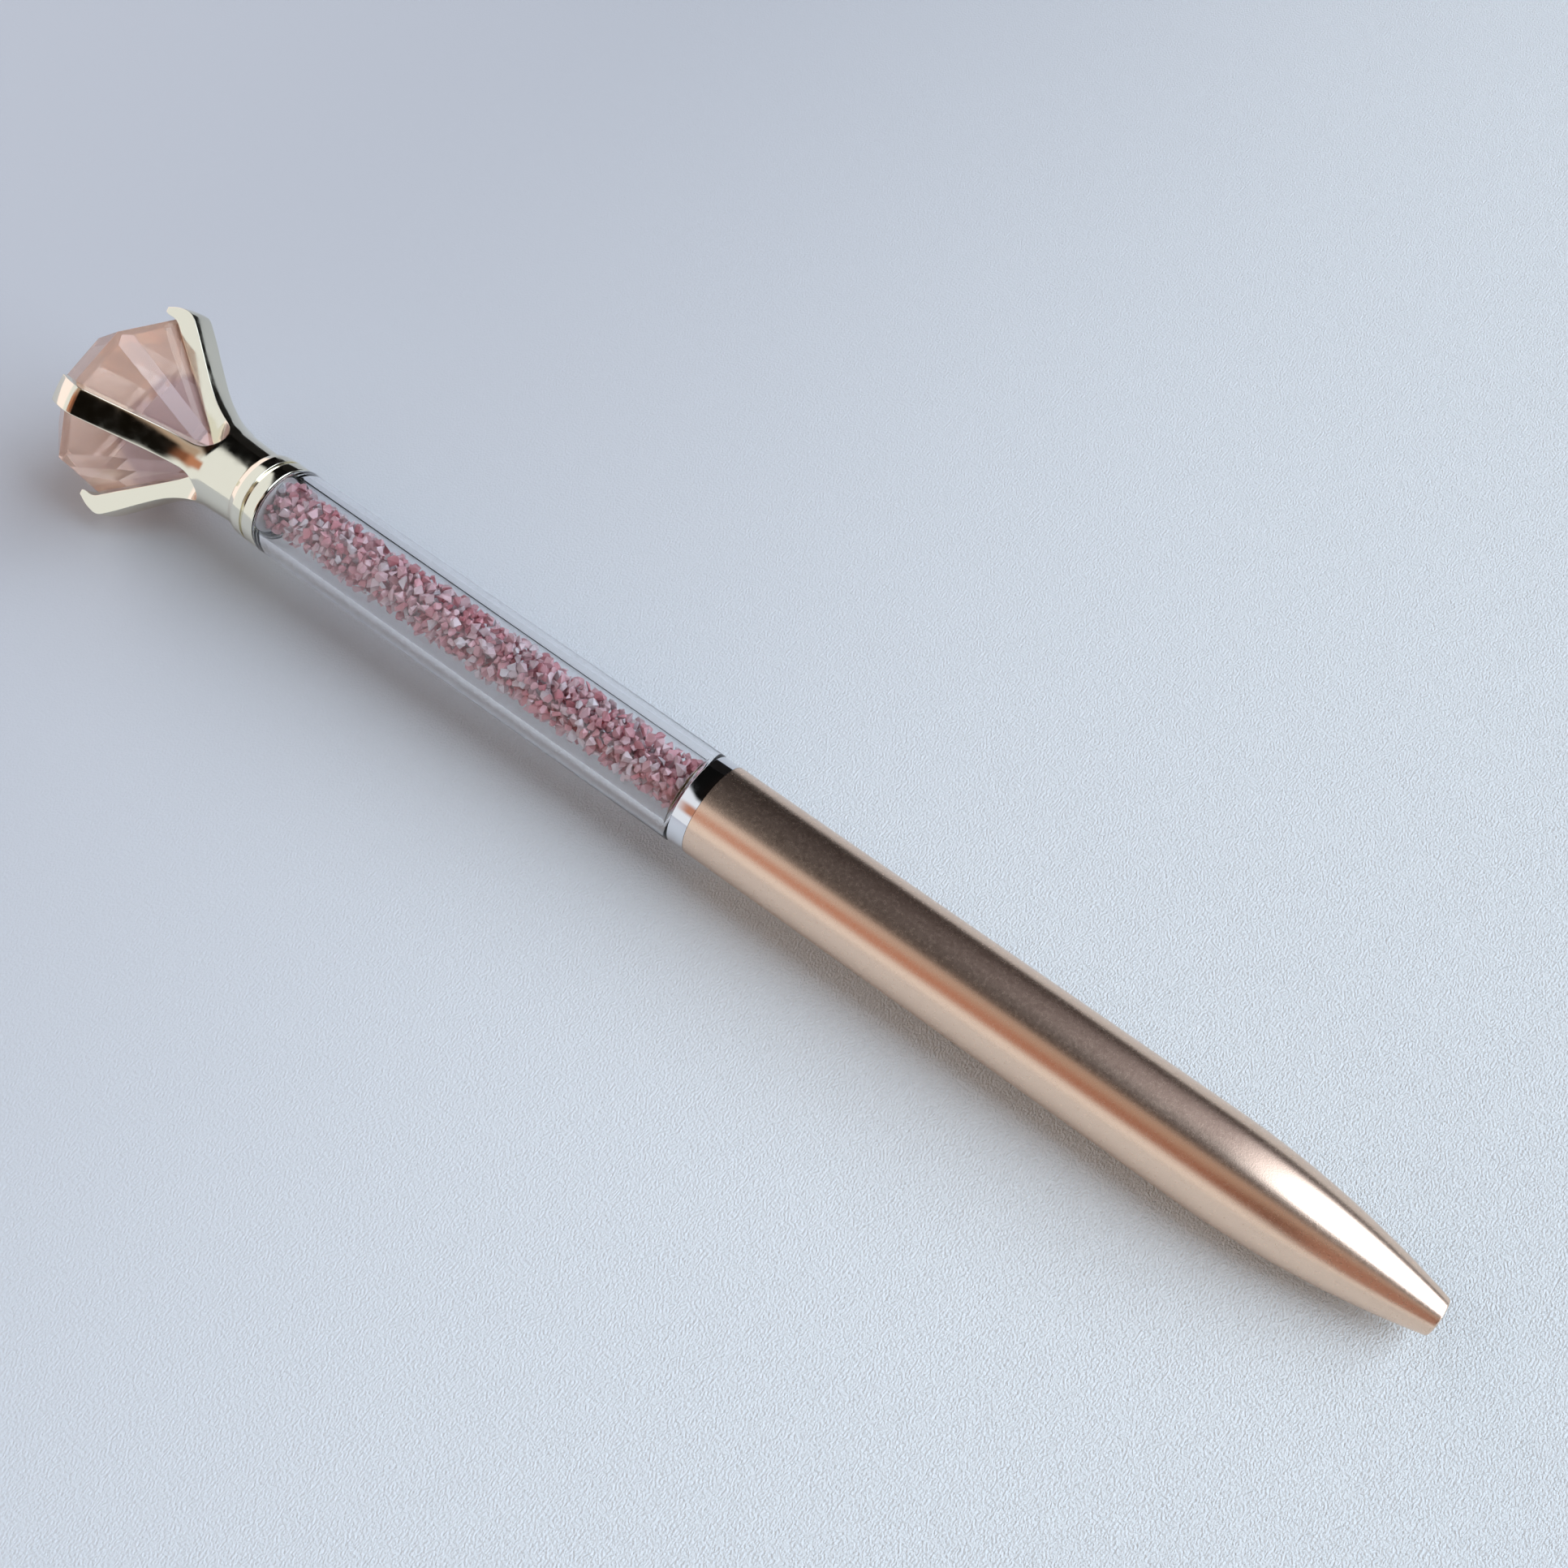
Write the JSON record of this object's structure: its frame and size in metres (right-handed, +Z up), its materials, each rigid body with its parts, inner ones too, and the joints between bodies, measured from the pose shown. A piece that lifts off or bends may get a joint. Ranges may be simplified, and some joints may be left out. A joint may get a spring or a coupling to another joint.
{
  "type": "gel pen",
  "caption": "Twist-action retractable gel pen: satin barrel with a rounded nose, clear tube of crystal chips, and a large faceted stone held in a pronged claw.",
  "frame": {"origin": "middle of the lying pen's bounding box, on the table that it lies on", "axes": "+Z up from the table; +X along the pen towards the nose, in plan; the pen's own axis dips 2.3 degrees towards the nose because the head is larger"},
  "size_m": [0.1388, 0.018, 0.0179],
  "materials": {
    "peach_stone": "polished facets, clear peach",
    "champagne_gold": "mirror polished champagne-gold plating",
    "clear_acrylic": "clear polished acrylic",
    "rose_crystal": "cut crystal chips, dusty rose",
    "chrome_ring": "polished chrome",
    "satin_rose_gold": "satin rose-gold anodised",
    "brass": "turned",
    "spring_steel": "bright drawn wire",
    "steel_sleeve": "drawn tube",
    "point_metal": "turned, bright",
    "carbide": "ground ball",
    "black_rubber": "moulded",
    "grey_acetal": "moulded",
    "white_plastic": "moulded",
    "refill_plastic": "translucent extruded tube",
    "follower_grease": "translucent grease",
    "black_gel_ink": "wet"
  },
  "bodies": {
    "barrel": {"lower_barrel": "satin_rose_gold", "threaded_insert": "brass", "return_spring": "spring_steel"},
    "mechanism": {"mechanism_housing": "brass", "guide_sleeve": "steel_sleeve", "thrust_washer": "white_plastic", "snap_ring": "spring_steel"},
    "head": {"stone": "peach_stone", "crown_claw": "champagne_gold", "collar_ring": "champagne_gold", "crystal_tube": "clear_acrylic", "tube_stopper": "white_plastic", "crystal_fill": "rose_crystal", "centre_ring": "chrome_ring", "coupler": "brass", "friction_ring": "black_rubber", "twist_cam": "grey_acetal"},
    "refill": {"refill_carrier": "white_plastic", "cross_pin": "spring_steel", "refill_plug": "white_plastic", "refill_tube": "refill_plastic", "ink_follower": "follower_grease", "gel_ink": "black_gel_ink", "tip_holder": "white_plastic", "tip_cone": "point_metal", "writing_ball": "carbide"}
  },
  "joints": [
    {"name": "barrel_removal", "type": "slide", "parent": "barrel", "child": "mechanism", "axis": [-0.9992, 0, 0.0408], "range_m": [0, 0.07]},
    {"name": "head_twist", "type": "hinge", "parent": "mechanism", "child": "head", "pos_m": [0.00224, 0, 0.0062], "axis": [-0.9992, 0, 0.0408], "range_deg": [0, 180]},
    {"name": "refill_travel", "type": "slide", "parent": "mechanism", "child": "refill", "axis": [0.9992, 0, -0.0408], "range_m": [0, 0.005], "deforming": ["return_spring"]}
  ],
  "couplings": [
    {"joint": "head_twist", "follows": "refill_travel", "rad_per_m": 628.32}
  ]
}
